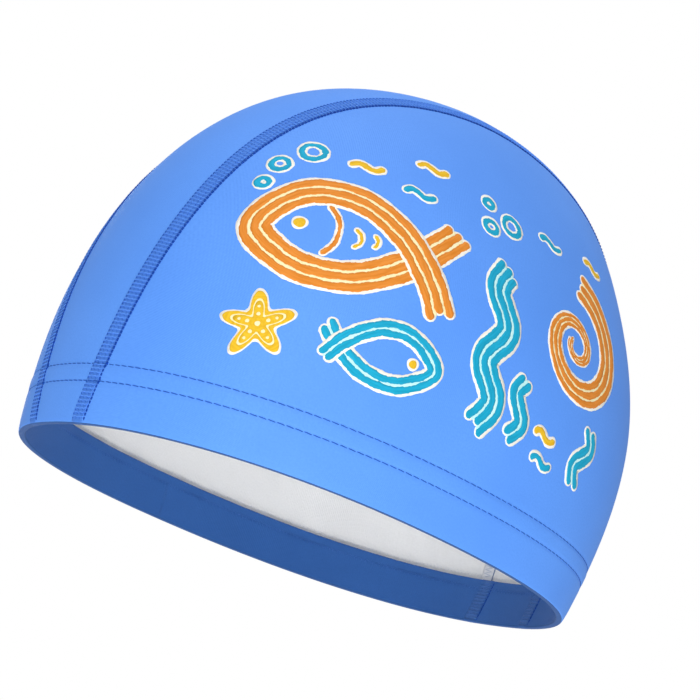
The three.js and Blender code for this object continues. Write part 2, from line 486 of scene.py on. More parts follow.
FINISHES: dict[str, StretchKnit | SewingThread | PrintInk] = {
    finish.name: finish
    for finish in (
        StretchKnit("cap_knit", colour="5f9efc", shade="5796f5"),
        StretchKnit("knit_reverse", colour="fcfcfc", shade="f4f4f4", relief_mm=0.05),
        # The facing is the cap's knit turned in; its darker blue is painted shade inside the cap.
        StretchKnit("hem_knit", colour="2f66b3", shade="2a5fa9"),
        # The fold at the rim is the same knit, painted darker still as shade.
        StretchKnit("painted_shade_hem_fold", colour="265697", shade="214e8c"),
        StretchKnit("seam_cloth", colour="4a85e2", shade="407ad6"),
        # The seam's band up the facing is the outside band painted darker as shade.
        StretchKnit("facing_band_painted_shade", colour="4472bc", shade="3c69b0"),
        # Round the fold the seam's band is painted darker still as shade.
        StretchKnit("crease_band_painted_shade", colour="305ea3", shade="2a5697"),
        StretchKnit("inner_band", colour="f2f3f7", shade="e9ebf1"),
        SewingThread("cover_thread", colour="619cf6", shade="548eec"),
        # The cover thread on the facing is the outside cover thread painted darker as shade.
        SewingThread("facing_cover_painted_shade", colour="4472b8", shade="3c68ac"),
        SewingThread("row_thread", colour="2a67cc", shade="1f58bc"),
        SewingThread("needle_thread", colour="0c49b0", shade="083d98"),
        SewingThread("inner_thread", colour="d3d9e4", shade="bdc7d8"),
        SewingThread("inner_needle", colour="8496b8", shade="6d80a8"),
        SewingThread("hem_thread", colour="2560c0", shade="1b53ae"),
        SewingThread("facing_chain", colour="4976c2", shade="3a67b2"),
        SewingThread("reverse_chain", colour="eef0f4", shade="e3e6ec"),
        PrintInk("print_orange", colour="ea9238", streak="db8120"),
        PrintInk("print_teal", colour="16add4", streak="0c9cc0"),
        PrintInk("print_yellow", colour="efc42c", streak="e3b01c"),
        PrintInk("print_cream", colour="fcf3c6", streak="f8eab0"),
        PrintInk("print_pale", colour="d2f9f6", streak="bcf2f2"),
        PrintInk("print_white", colour="fdfaf0", streak="f8f2e4"),
    )
}


@dataclass
class Palette:
    """Materials, each made once, when a piece first asks for it."""

    made: dict[str, bpy.types.Material] = field(default_factory=dict)

    def get(self, name: str) -> bpy.types.Material:
        """The material of that name in FINISHES."""
        if name not in self.made:
            self.made[name] = FINISHES[name].make()
        return self.made[name]


@dataclass
class Mesh:
    """Points in the cap's frame in mm, faces, and a UV pair for each point.

    Faces from number reverse_from on have the piece's second material.
    """

    points: Array
    faces: Faces
    uv: Array
    reverse_from: int | None = None

    @staticmethod
    def joined(meshes: list["Mesh"]) -> "Mesh":
        """Several meshes as one."""
        starts = np.cumsum([0] + [len(m.points) for m in meshes])
        faces = [tuple(i + s for i in f) for m, s in zip(meshes, starts.tolist()) for f in m.faces]
        return Mesh(np.concatenate([m.points for m in meshes]), faces, np.concatenate([m.uv for m in meshes]))


def grid_faces(rows: int, columns: int, close_rows: bool = False, close_columns: bool = False) -> Faces:
    """Four-cornered faces of a grid whose points are counted row by row.

    Args:
        rows: Number of rows.
        columns: Number of columns.
        close_rows: Whether the last row joins the first.
        close_columns: Whether the last column joins the first.

    Returns:
        The faces.
    """
    r = np.arange(rows if close_rows else rows - 1)[:, None]
    c = np.arange(columns if close_columns else columns - 1)[None, :]
    down, right = (r + 1) % rows, (c + 1) % columns
    corners = [r * columns + c, r * columns + right, down * columns + right, down * columns + c]
    grids = [np.broadcast_to(k, (r.size, c.size)) for k in corners]
    return list(map(tuple, np.stack(grids, -1).reshape(-1, 4).tolist()))


def end_faces(rings: int, size: int) -> Faces:
    """Faces that cap the first and the last of a row of rings with that many points."""
    return [tuple(range(size))[::-1], tuple((rings - 1) * size + k for k in range(size))]


def grid_normals(grid: Array, inside: Array) -> Array:
    """Unit normals of a grid of points that face away from a point inside."""
    normals = unit(np.cross(np.gradient(grid, axis=0), np.gradient(grid, axis=1)))
    away = unit(grid - inside)
    lost = np.linalg.norm(normals, axis=-1) < 0.5
    normals = np.where(lost[..., None], away, normals)
    return normals * np.sign(np.sum(normals * away, -1, keepdims=True))


def into_scene(name: str, data: bpy.types.ID) -> bpy.types.Object:
    """Makes an object of that data in the scene."""
    made = bpy.data.objects.new(name, data)
    bpy.context.scene.collection.objects.link(made)
    return made


def add_piece(
    name: str, mesh: Mesh, form: CrownForm, materials: list[bpy.types.Material]
) -> bpy.types.Object:
    """Makes a piece that rides on the cap; like points are merged and collapsed faces dropped.

    Args:
        name: The piece's name.
        mesh: Its mesh in the cap's frame.
        form: The cap's form, which says how it leans.
        materials: Its materials; the first is the faces' own.

    Returns:
        The object, at the origin.
    """
    _, first, back = np.unique(np.round(mesh.points, 4), axis=0, return_index=True, return_inverse=True)
    merged = back.reshape(-1).tolist()
    faces, sources, reverse = [], [], []
    for number, face in enumerate(mesh.faces):
        kept = [i for k, i in enumerate(face) if merged[i] != merged[face[k - 1]]]
        if len(kept) > 2:
            faces.append([merged[i] for i in kept])
            sources += kept
            reverse.append(mesh.reverse_from is not None and number >= mesh.reverse_from)
    data = bpy.data.meshes.new(name)
    data.from_pydata(form.to_world(mesh.points[first]), [], faces)
    data.uv_layers.new(name="UVMap").data.foreach_set("uv", mesh.uv[sources].ravel())
    data.shade_smooth()
    for material in materials:
        data.materials.append(material)
    data.polygons.foreach_set("material_index", np.array(reverse, dtype=np.int32))
    piece = into_scene(name, data)
    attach(piece, "root")
    LOG.info("%s: %d faces", name, len(faces))
    return piece


def cloth_wall(outer: Array, inner: Array, uv: Array) -> Mesh:
    """Closed wall of cloth; its inner face and cut edges are its reverse.

    Args:
        outer: Grid of points of its outer face.
        inner: The like grid of its inner face.
        uv: UV pair for each point of a grid.

    Returns:
        The mesh.
    """
    rows, columns = outer.shape[:2]
    size = rows * columns
    face = grid_faces(rows, columns)
    r, c = np.arange(rows), np.arange(columns)
    border = np.concatenate(
        [c[:-1], r[:-1] * columns + columns - 1, (rows - 1) * columns + c[:0:-1], r[:0:-1] * columns]
    ).tolist()
    edge = [(b, a, a + size, b + size) for a, b in zip(border, border[1:] + border[:1])]
    back = [tuple(i + size for i in reversed(f)) for f in face]
    points = np.concatenate([outer.reshape(-1, 3), inner.reshape(-1, 3)])
    return outward(Mesh(points, face + back + edge, np.tile(uv.reshape(-1, 2), (2, 1)), len(face)))


def outward(mesh: Mesh) -> Mesh:
    """The mesh with its faces turned outward, judged by its volume."""
    points = mesh.points - mesh.points.mean(axis=0)
    volume = 0.0
    for size in {len(face) for face in mesh.faces}:
        corners = points[np.array([face for face in mesh.faces if len(face) == size])]
        for k in range(1, size - 1):
            volume += np.sum(corners[:, 0] * np.cross(corners[:, k], corners[:, k + 1]))
    if volume < 0:
        mesh.faces = [tuple(reversed(face)) for face in mesh.faces]
    return mesh


def tubes(paths: Array, up: Array, radius: float, sides: int = 5, flat: float = 1.0) -> Mesh:
    """Closed tubes along rows of points.

    Args:
        paths: Points, shaped (tubes, points, 3).
        up: Directions away from the cloth, of the same shape.
        radius: Half the width, in mm.
        sides: Sides of the section.
        flat: Height of the section as a share of its width.

    Returns:
        One mesh of all the tubes.
    """
    count, length = paths.shape[:2]
    tangent = unit(np.gradient(paths, axis=1))
    across = unit(np.cross(tangent, up))
    over = np.cross(across, tangent)
    turn = np.linspace(0, 2 * math.pi, sides, endpoint=False)
    rings = (
        paths[:, :, None]
        + radius * np.cos(turn)[:, None] * across[:, :, None]
        + radius * flat * np.sin(turn)[:, None] * over[:, :, None]
    )
    one = grid_faces(length, sides, close_columns=True) + end_faces(length, sides)
    size = length * sides
    faces = [tuple(i + n * size for i in f) for n in range(count) for f in one]
    uv = pairs(np.arange(length)[:, None] * 0.3, turn[None, :])
    return outward(Mesh(rings.reshape(-1, 3), faces, np.tile(uv.reshape(-1, 2), (count, 1))))


def closed_rings(rings: Array, run: Array) -> Mesh:
    """Closed body whose sections are rings of points.

    Args:
        rings: Points, shaped (sections, points round, 3).
        run: Distance of each section along the body, for the UV map.

    Returns:
        The mesh, capped at both ends.
    """
    rows, size = rings.shape[:2]
    faces = grid_faces(rows, size, close_columns=True) + end_faces(rows, size)
    uv = pairs(run[:, None], np.arange(size)[None, :] * 0.5)
    return outward(Mesh(rings.reshape(-1, 3), faces, uv.reshape(-1, 2)))


@dataclass
class KnitPanel:
    """What the panels share: knit with a white reverse, turned under at the rim."""

    form: CrownForm
    relief: ClothRelief
    wall: float = 0.85
    seam_gap: float = 0.1
    fine_rows: int = 36
    fine_step: float = 0.6
    curl_rows: int = 6

    @property
    def corner(self) -> Array:
        """Angles of the fold's outer corner, which the panels have."""
        return np.linspace(self.form.fold_corner, math.pi, self.curl_rows + 1)[:-1]

    def sewn(self, name: str, outer: Array, inner: Array, uv: Array, palette: Palette) -> bpy.types.Object:
        """Makes the panel's piece.

        Args:
            name: Name of the solid that it stands for.
            outer: Grid of points of its outer face.
            inner: The like grid of its inner face.
            uv: UV pair for each point of a grid.
            palette: The materials.

        Returns:
            The piece, one closed sheet of cloth.
        """
        materials = [palette.get("cap_knit"), palette.get("knit_reverse")]
        return add_piece(f"{name}_cloth", cloth_wall(outer, inner, uv), self.form, materials)


@dataclass
class SidePanel(KnitPanel):
    """Side panel: outer face, its turn under at the rim, and the white reverse."""

    side: Side = Side.LEFT
    columns: int = 220
    rows: int = 66
    crowding: float = 1.35
    full_height: float = 60.0
    trial_rows: int = 25
    shortest: float = 0.01

    @property
    def name(self) -> str:
        """Name of the solid that the panel stands for."""
        return f"{self.side.name.lower()}_panel"

    def row_distances(self, length: float) -> Array:
        """Spaces the rows of a column, closer together near the hem and the seam.

        Args:
            length: The column's length from the rim to the seam.

        Returns:
            Each row's distance from the rim.
        """
        scale = min(length / self.full_height, 1.0)
        near = np.arange(self.fine_rows) * self.fine_step * scale
        edge = self.fine_rows * self.fine_step * scale
        share = 1 - (1 - np.linspace(0, 1, self.rows + 1)) ** self.crowding
        return np.concatenate([near, edge + (length - edge) * share])

    def faces(self) -> tuple[Array, Array]:
        """Grids of the outer and inner face: a row of points for each column from the rim to the seam."""
        angles = np.linspace(0, math.pi, self.columns + 1)
        middle = vector(0.0, 0.0, self.form.fold_radius)
        sign = self.side.value
        edge = self.form.arc_point(angles, sign * (self.form.strip_half(angles) + self.seam_gap))
        plan = np.arctan2(edge[[0, -1], 1], sign * edge[[0, -1], 0])
        turn = np.linspace(plan[0], plan[1], self.columns + 1)
        low = vector(sign * np.cos(turn), np.sin(turn), 0.0)
        high = unit(edge - middle)
        spread = np.arccos(np.clip(np.sum(low * high, -1), -1, 1))

        def aim(share: Array) -> Array:
            """Directions between the rim and the seam, for a row of shares in each column."""
            wide = np.maximum(spread, 1e-6)[:, None]
            from_low = np.sin((1 - share) * wide) / np.sin(wide)
            from_high = np.sin(share * wide) / np.sin(wide)
            return unit(from_low[..., None] * low[:, None] + from_high[..., None] * high[:, None])

        coarse = np.linspace(0, 1, self.trial_rows)
        even = np.linspace(0, 1, self.fine_rows + self.rows + 1)
        trial = self.form.hit(middle, aim(np.tile(coarse, (self.columns + 1, 1))))
        shares = [
            np.interp(self.row_distances(run[-1]), run, coarse) if run[-1] > self.shortest else even
            for run in map(travelled, trial)
        ]
        face = self.form.hit(middle, aim(np.array(shares)))
        normals = grid_normals(face, self.form.inner_point)
        face = face + normals * self.relief.at(face)[..., None]
        grids = []
        for depth in (0.0, self.wall):
            inset, height = self.form.fold(self.corner, -depth)
            under = self.form.hit(vector(0.0, 0.0, height)[None], low[:, None], inset[None])
            grids.append(np.concatenate([under, face - normals * depth], axis=1))
        return grids[0], grids[1]

    def build(self, palette: Palette) -> bpy.types.Object:
        """Makes the panel as one closed sheet of cloth."""
        outer, inner = self.faces()
        piece = self.sewn(self.name, outer, inner, outer[..., 1:], palette)
        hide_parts(self.name)
        return piece


@dataclass
class CentreStrip(KnitPanel):
    """Centre strip from the forehead over the top to the nape, turned under at both ends."""

    coarse_step: float = 2.2
    columns: int = 28

    def angles(self) -> Array:
        """Angles over the head of the rows, closer together near both hems."""
        even = np.linspace(0, math.pi, ARC_POINTS)
        run = travelled(self.form.arc_point(even, 0.0))
        fine = np.arange(self.fine_rows) * self.fine_step
        middle = np.arange(fine[-1] + self.fine_step, run[-1] - fine[-1] - self.fine_step, self.coarse_step)
        return np.interp(np.concatenate([fine, middle, run[-1] - fine[::-1]]), run, even)

    def end_curl(self, angle: float, direction: float, depth: float) -> Array:
        """Rows of the fold's outer corner at one end.

        Args:
            angle: The end's angle over the head.
            direction: The sign of Y in which that end lies.
            depth: Depth below the outer face.

        Returns:
            A row of points for each angle of the corner.
        """
        half = self.form.strip_half(np.array(angle)) - self.seam_gap
        x = np.linspace(-half, half, self.columns + 1)[None, :]
        inset, height = self.form.fold(self.corner[:, None], -depth)
        return self.form.hit(vector(x, 0.0, height), vector(0.0, direction, 0.0), inset + 0 * x)

    def build(self, palette: Palette) -> bpy.types.Object:
        """Makes the strip as one closed sheet of cloth."""
        angle = self.angles()[:, None]
        x = np.linspace(-1, 1, self.columns + 1)[None, :] * (self.form.strip_half(angle) - self.seam_gap)
        bare = self.form.arc_point(angle + 0 * x, x)
        normals = grid_normals(bare, self.form.inner_point)
        face = bare + normals * self.relief.at(bare)[..., None]
        outer, inner = (
            np.concatenate(
                [
                    self.end_curl(0.0, -1.0, depth),
                    face - normals * depth,
                    self.end_curl(math.pi, 1.0, depth)[::-1],
                ]
            )
            for depth in (0.0, self.wall)
        )
        along = travelled(outer[:, self.columns // 2])[:, None]
        piece = self.sewn("centre_panel", outer, inner, pairs(outer[..., 0], along), palette)
        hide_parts("centre_panel")
        return piece


@dataclass
class HemFacing:
    """The hem's turned-up part inside the cap: fold, facing and cut edge, painted darker as shade."""

    form: CrownForm
    relief: ClothRelief
    wall: float = 0.9
    stations: int = 420
    height_rows: int = 22
    fold_rows: int = 18
    shaded_fold_rows: int = 15
    edge_round: float = 0.3
    ripple: float = 0.1
    ripple_length: float = 4.3
    ripple_drift: float = 17.0

    def profile(self) -> tuple[Array, Array]:
        """Insets and heights of the closed section, from the fold's corner inward and up, then back down."""
        turn = np.linspace(self.form.fold_corner, 0, self.fold_rows)
        low_inset, low_height = self.form.fold(turn)
        back_inset, back_height = self.form.fold(turn, -self.wall)
        face = low_inset[-1]
        top = self.form.hem_depth - self.edge_round
        rise = np.linspace(self.form.fold_radius, top, self.height_rows)[1:]
        edge = np.linspace(0, math.pi, 7)[1:-1]
        half = self.wall / 2
        inset = [
            low_inset,
            face + 0 * rise,
            face - half + half * np.cos(edge),
            face - self.wall + 0 * rise,
            back_inset[::-1],
        ]
        height = [
            low_height,
            rise,
            top + self.edge_round * np.sin(edge),
            rise[::-1],
            back_height[::-1],
        ]
        return np.concatenate(inset), np.concatenate(height)

    def build(self, palette: Palette) -> bpy.types.Object:
        """Makes the facing as one closed ring of cloth."""
        inset, height = self.profile()
        plan = np.linspace(-math.pi, math.pi, self.stations, endpoint=False)[:, None]
        run = plan * self.form.rim_width / 2
        wave = np.sin(run / self.ripple_length + 1.9 * np.sin(run / self.ripple_drift))
        wave = wave * np.clip(height / self.form.hem_depth, 0, 1)
        points = self.form.ring_point(plan + 0 * inset, height + 0 * plan, inset + self.ripple * wave)
        around = np.cumsum(np.hypot(np.gradient(inset), np.gradient(height)))
        uv = pairs(run, around).reshape(-1, 2)
        faces = grid_faces(self.stations, len(inset), close_rows=True, close_columns=True)
        # The fold's first rows get the darker painted shade; the facing's rows get the lighter painted shade.
        face = [f for number, f in enumerate(faces) if number % len(inset) >= self.shaded_fold_rows]
        crease = [f for number, f in enumerate(faces) if number % len(inset) < self.shaded_fold_rows]
        mesh = outward(Mesh(points.reshape(-1, 3), face + crease, uv, len(face)))
        materials = [palette.get("hem_knit"), palette.get("painted_shade_hem_fold")]
        piece = add_piece("turned_hem_cloth", mesh, self.form, materials)
        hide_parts("turned_hem")
        return piece


@dataclass
class FlatSeam:
    """Flat seam: a low band under three ladders of thread, a strong row of stitches, and a band inside.

    Distances run along the seam from the facing's edge at the forehead, down, round the fold, over the head
    and round the fold at the nape to the facing's edge there. Offsets run towards +X on both seams.
    """

    form: CrownForm
    relief: ClothRelief
    side: Side
    band: tuple[float, float] = (-2.85, 2.35)
    band_rise: float = 0.2
    inner_rise: float = 0.1
    fold_rise: float = 0.03
    rows: tuple[float, ...] = (-2.65, -0.88, 0.9)
    row_stitch: float = 0.6
    row_radius: float = 0.2
    rung_pitch: float = 1.22
    rung_slant: float = 0.3
    rung_radius: float = 0.2
    needle_offset: float = 2.78
    stitch: float = 0.58
    stitch_radius: float = 0.36
    press: float = 0.4
    follow: float = 0.45
    facing_stitch: float = 1.12
    inner_half: float = 2.6
    inner_start: float = 1.8
    loop_half: float = 1.5
    loop_pitch: float = 1.5
    cloth_wall: float = 0.85
    fold_reach: float = 0.75
    rise_length: float = 2.0
    probe: float = 0.6
    tape_step: float = 0.6
    tape_points: int = 9
    tape_root: float = -0.25
    first: float = 0.3
    rung_sink: float = 0.02
    rung_bow: float = 0.06
    stitch_top: float = 0.12
    stitch_dip: float = 0.25
    inner_lift: float = 0.08
    inner_dome: float = 0.12
    inner_root: float = 0.15
    inner_rows: int = 200
    inner_probe: float = 0.9
    loop_margin: float = 0.8
    loop_aside: float = -0.3
    loop_lift: float = 0.25
    loop_radius: float = 0.13
    edge_aside: float = 0.35
    edge_lift: float = 0.18

    @property
    def name(self) -> str:
        """Name of the solid that the seam stands for."""
        return f"{self.side.name.lower()}_seam"

    @cached_property
    def arc(self) -> tuple[Array, Array]:
        """Angles over the head, and the seam line's length up to each."""
        angles = np.linspace(0, math.pi, ARC_POINTS)
        return angles, travelled(self.form.arc_point(angles, self.form.strip_half(angles)))

    @property
    def stretches(self) -> tuple[float, float, float]:
        """Lengths of the facing, the fold and the arc over the head."""
        radius = self.form.fold_radius
        return self.form.hem_depth - radius, math.pi * radius, float(self.arc[1][-1])

    @property
    def length(self) -> float:
        """The seam's whole length."""
        facing, fold, arc = self.stretches
        return arc + 2 * (facing + fold)

    def place(self, distance: Array, offset: Array, lift: Array) -> Array:
        """Points of the seam's upper side, which faces inward on the facing.

        Args:
            distance: Distance along the seam.
            offset: Distance across it.
            lift: Height over the cloth.

        Returns:
            Points in the cap's frame.
        """
        distance, offset, lift = np.broadcast_arrays(np.asarray(distance, float), offset, lift)
        facing, fold, _ = self.stretches
        radius = self.form.fold_radius
        back = distance > self.length / 2
        along = np.where(back, self.length - distance, distance)
        on_arc = along > facing + fold
        turn = np.clip((along - facing) / radius, 0, math.pi)
        inset, height = self.form.fold(turn, lift)
        rise = np.where(along < facing, self.form.hem_depth - along, height)
        angle = np.interp(distance - facing - fold, self.arc[1], self.arc[0])
        x = self.side.value * self.form.strip_half(angle) + offset
        origin = vector(x, 0.0, np.where(on_arc, radius, rise))
        level = vector(0.0, np.where(back, 1.0, -1.0), 0.0)
        direction = np.where(on_arc[..., None], vector(0.0, -np.cos(angle), np.sin(angle)), level)
        bare = self.form.hit(origin, direction, np.where(on_arc, 0.0, inset))
        raised = self.form.hit(origin, direction, -(self.follow * self.relief.at(bare) + lift))
        return np.where(on_arc[..., None], raised, bare)

    def strand(self, distance: Array, offset: Array, lift: Array, radius: float) -> Mesh:
        """Thread tubes on the seam's upper side.

        Args:
            distance: Distances along the seam, a row for each tube.
            offset: Distances across it.
            lift: Heights over the cloth.
            radius: The thread's radius.

        Returns:
            One mesh of all the tubes.
        """
        distance, offset, lift = np.broadcast_arrays(distance, offset, lift)
        path = self.place(distance, offset, lift)
        return tubes(path, unit(self.place(distance, offset, lift + self.probe) - path), radius)

    def folded(self, distance: Array) -> Array:
        """How far a place lies into the fold, 1 in its middle and 0 beyond it."""
        facing, fold, _ = self.stretches
        along = np.minimum(distance, self.length - distance)
        share = np.clip(1 - np.abs(along - facing - fold / 2) / (self.fold_reach * fold), 0, 1)
        return share * share * (3 - 2 * share)

    def rise(self, distance: Array) -> Array:
        """Height of the band along the seam: lower inside the cap, and pressed flat round the fold."""
        facing, fold, _ = self.stretches
        along = np.minimum(distance, self.length - distance)
        share = np.clip((along - facing - fold) / self.rise_length, 0, 1)
        free = self.inner_rise + (self.band_rise - self.inner_rise) * share
        return free + (self.fold_rise - free) * self.folded(distance)

    def tape(self, start: float, stop: float) -> Mesh:
        """Stretch of the band's body, where the cloth's edges meet under the thread."""
        distance = np.linspace(start, stop, int((stop - start) / self.tape_step) + 2)[:, None]
        share = np.linspace(0, 1, self.tape_points)[None, :]
        low, high = self.band
        offset = low + (high - low) * share
        dome = self.rise(distance) * (1 - np.abs(2 * share - 1) ** 4)
        top = self.place(distance, offset, dome)
        bottom = self.place(distance, offset, self.tape_root)[:, -2:0:-1]
        return closed_rings(np.concatenate([top, bottom], axis=1), distance[:, 0])

    def rungs(self, start: float, stop: float) -> Mesh:
        """The cover thread's rungs on one stretch, aslant between each two rows of needle thread."""
        edges = [*self.rows, self.band[1]]
        meshes = []
        for low, high in zip(edges, edges[1:]):
            starts = np.arange(start + self.first, stop - self.rung_slant, self.rung_pitch)[:, None]
            share = np.linspace(0, 1, 5)[None, :]
            bow = 1 - (2 * share - 1) ** 2
            lift = self.rise(starts) - self.rung_sink + self.rung_bow * bow - self.press * self.folded(starts)
            offset = low + (high - low) * share
            meshes.append(self.strand(starts + self.rung_slant * share, offset, lift, self.rung_radius))
        return Mesh.joined(meshes)

    def stitches(self, offset: float, radius: float, stitch: float, start: float, stop: float) -> Mesh:
        """A row of short stitches, at the rungs' pitch and between them.

        Args:
            offset: The row's distance across the seam.
            radius: The thread's radius.
            stitch: Length of a stitch.
            start: Distance along the seam where the row begins.
            stop: Distance where it ends.

        Returns:
            One mesh of all the stitches.
        """
        begin = start + self.first + self.rung_pitch / 2
        starts = np.arange(begin, stop - stitch, self.rung_pitch)[:, None]
        share = np.linspace(0, 1, 4)[None, :]
        dip = self.stitch_top - self.stitch_dip * (2 * share - 1) ** 4
        dip = dip - self.press * self.folded(starts)
        return self.strand(starts + stitch * share, offset, dip, radius)

    def inner_place(self, along: Array, offset: Array, depth: Array) -> Array:
        """Points inside the cap, under the seam.

        Args:
            along: Distance along the seam line from the rim at the forehead.
            offset: Distance across it.
            depth: Depth under the outer face.

        Returns:
            Points in the cap's frame.
        """
        angle = np.interp(along, self.arc[1], self.arc[0])
        x = self.side.value * self.form.strip_half(angle) + offset
        return self.form.arc_point(angle + 0 * x, x, depth)

    def inner_strand(self, along: Array, offset: Array, lift: float, radius: float) -> Mesh:
        """Thread tubes on the inner band, a tube for each row, at a height over the reverse."""
        path = self.inner_place(along, offset, self.cloth_wall + lift)
        over = self.inner_place(along, offset, self.cloth_wall + self.inner_probe)
        return tubes(path, unit(over - path), radius)

    def inner_tape(self) -> Mesh:
        """Band on the white reverse, over the cloths' joined edges, between the hem's facings."""
        start = self.form.hem_depth - self.inner_start
        along = np.linspace(start, self.stretches[2] - start, self.inner_rows)[:, None]
        across = np.linspace(-self.inner_half, self.inner_half, 7)[None, :]
        dome = self.inner_dome * (1 - (across / self.inner_half) ** 4)
        top = self.inner_place(along, across, self.cloth_wall + self.inner_lift + dome)
        bottom = self.inner_place(along, across, self.cloth_wall - self.inner_root)[:, ::-1]
        return closed_rings(np.concatenate([top, bottom], axis=1), along[:, 0])

    def inner_loops(self) -> Mesh:
        """The looper thread on the inner band."""
        start = self.form.hem_depth + self.loop_margin
        knots = np.arange(int((self.stretches[2] - 2 * start) / self.loop_pitch * 2) + 1)
        swing = np.where(knots % 2 == 0, -1.0, 1.0) * self.loop_half
        share = np.linspace(0, 1, 4)[:-1]
        offset = (swing[:-1, None] + (swing[1:] - swing[:-1])[:, None] * share).ravel()
        along = (start + (knots[:-1, None] + share) * self.loop_pitch / 2).ravel()
        offset = offset + self.loop_aside
        return self.inner_strand(along[None], offset[None], self.loop_lift, self.loop_radius)

    def inner_edge(self) -> Mesh:
        """The needle thread's row on the inner band."""
        start = self.form.hem_depth - self.inner_start / 2
        starts = np.arange(start, self.stretches[2] - start, self.rung_pitch)[:, None]
        along = starts + self.facing_stitch * np.linspace(0, 1, 4)[None, :]
        offset = self.inner_half - self.edge_aside
        return self.inner_strand(along, offset, self.edge_lift, self.row_radius)

    def build(self, palette: Palette) -> list[bpy.types.Object]:
        """Makes the seam's pieces, the band first."""
        facing, fold, _ = self.stretches
        bottom = facing + fold * self.form.fold_corner / math.pi
        top = self.length - bottom
        ends = ((0.0, bottom), (top, self.length))
        faces = ((0.0, facing), (self.length - facing, self.length))
        creases = ((facing, bottom), (top, self.length - facing))
        rows = [self.stitches(offset, self.row_radius, self.row_stitch, bottom, top) for offset in self.rows]
        offset = self.needle_offset
        needle = [self.stitches(offset, self.stitch_radius, self.stitch, bottom, top)]
        needle += [self.stitches(offset, self.row_radius, self.facing_stitch, *end) for end in ends]
        pieces = {
            "band": (self.tape(bottom, top), "seam_cloth"),
            # The band and cover thread on the facing and round the fold are painted darker as shade.
            "facing_band_painted_shade": (Mesh.joined([self.tape(*face) for face in faces]), "facing_band_painted_shade"),
            "crease_band_painted_shade": (Mesh.joined([self.tape(*crease) for crease in creases]), "crease_band_painted_shade"),
            "cover_thread": (self.rungs(bottom, top), "cover_thread"),
            "facing_cover_painted_shade": (Mesh.joined([self.rungs(*end) for end in ends]), "facing_cover_painted_shade"),
            "row_thread": (Mesh.joined(rows), "row_thread"),
            "needle_thread": (Mesh.joined(needle), "needle_thread"),
            "inner_band": (self.inner_tape(), "inner_band"),
            "inner_thread": (self.inner_loops(), "inner_thread"),
            "inner_needle": (self.inner_edge(), "inner_needle"),
        }
        made = [
            add_piece(f"{self.name}_{part}", mesh, self.form, [palette.get(finish)])
            for part, (mesh, finish) in pieces.items()
        ]
        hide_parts(self.name)
        return made


@dataclass
class HemStitching:
    """The hem's two rows of chain stitch: straight outside, small loops inside."""

    form: CrownForm
    relief: ClothRelief
    stitch: float = 2.5
    gap: float = 0.12
    slant: float = 0.08
    radius: float = 0.14
    loop_half: float = 0.5
    loop_radius: float = 0.08
    loop_pitch: float = 1.4
    wall: float = 0.85
    seam_hump: float = 0.34
    seam_half: float = 3.4
    seam_slope: float = 0.8
    ride: float = 0.06
    dive: float = 0.2
    loop_lift: float = 0.08
    loop_sway: float = 2.2
    loop_points: int = 8

    def plan_run(self, height: float) -> tuple[Array, Array]:
        """Plan angles once round, and the distance round the cap at that height up to each."""
        plan = np.linspace(-math.pi, math.pi, RING_POINTS)
        return plan, travelled(self.form.ring_point(plan, height))

    def outer_row(self, height: float) -> Mesh:
        """One row of straight stitches, each a little aslant, which climb over the seams' bands."""
        plan, run = self.plan_run(height)
        count = round(run[-1] / (self.stitch + self.gap))
        pitch = run[-1] / count
        share = np.linspace(0, 1, 6)[None, :]
        angles = np.interp(np.arange(count)[:, None] * pitch + (pitch - self.gap) * share, run, plan)
        level = height + self.slant * (1 - 2 * share) + 0 * angles
        bare = self.form.ring_point(angles, level)
        near = (self.seam_half - self.form.seam_distance(bare)) / self.seam_slope
        hump = self.seam_hump * np.clip(near, 0, 1)
        lift = self.relief.at(bare) + hump + self.ride - self.dive * (2 * share - 1) ** 8
        path = self.form.ring_point(angles, level, -lift)
        return tubes(path, unit(path - vector(0.0, 0.0, height)), self.radius)

    def inner_row(self, height: float, inset: float) -> Mesh:
        """The looper's side of one row, a chain of small loops."""
        plan, run = self.plan_run(height)
        count = round(run[-1] / self.loop_pitch)
        step = np.arange(count * self.loop_points)
        turn = 2 * math.pi * step / self.loop_points
        distance = (step + self.loop_sway * np.sin(turn)) / self.loop_points * run[-1] / count
        angles = np.interp(distance, run, plan)
        level = height + self.loop_half * np.cos(turn)
        path = self.form.ring_point(angles, level, inset + self.loop_lift + 0 * angles)
        return tubes(path[None], unit(vector(0.0, 0.0, level) - path)[None], self.loop_radius, sides=4)

    def build(self, palette: Palette) -> list[bpy.types.Object]:
        """Makes the outer rows as one piece and each row of loops as another."""
        low, high = self.relief.hem_rows
        outer = Mesh.joined([self.outer_row(low), self.outer_row(high)])
        inner = {
            "lower": (low, 2 * self.form.fold_radius, "facing_chain"),
            "upper": (high, self.wall, "reverse_chain"),
        }
        made = [add_piece("hem_needle_thread", outer, self.form, [palette.get("hem_thread")])]
        for row, (height, inset, finish) in inner.items():
            mesh = self.inner_row(height, inset)
            made.append(add_piece(f"hem_{row}_chain", mesh, self.form, [palette.get(finish)]))
        return made


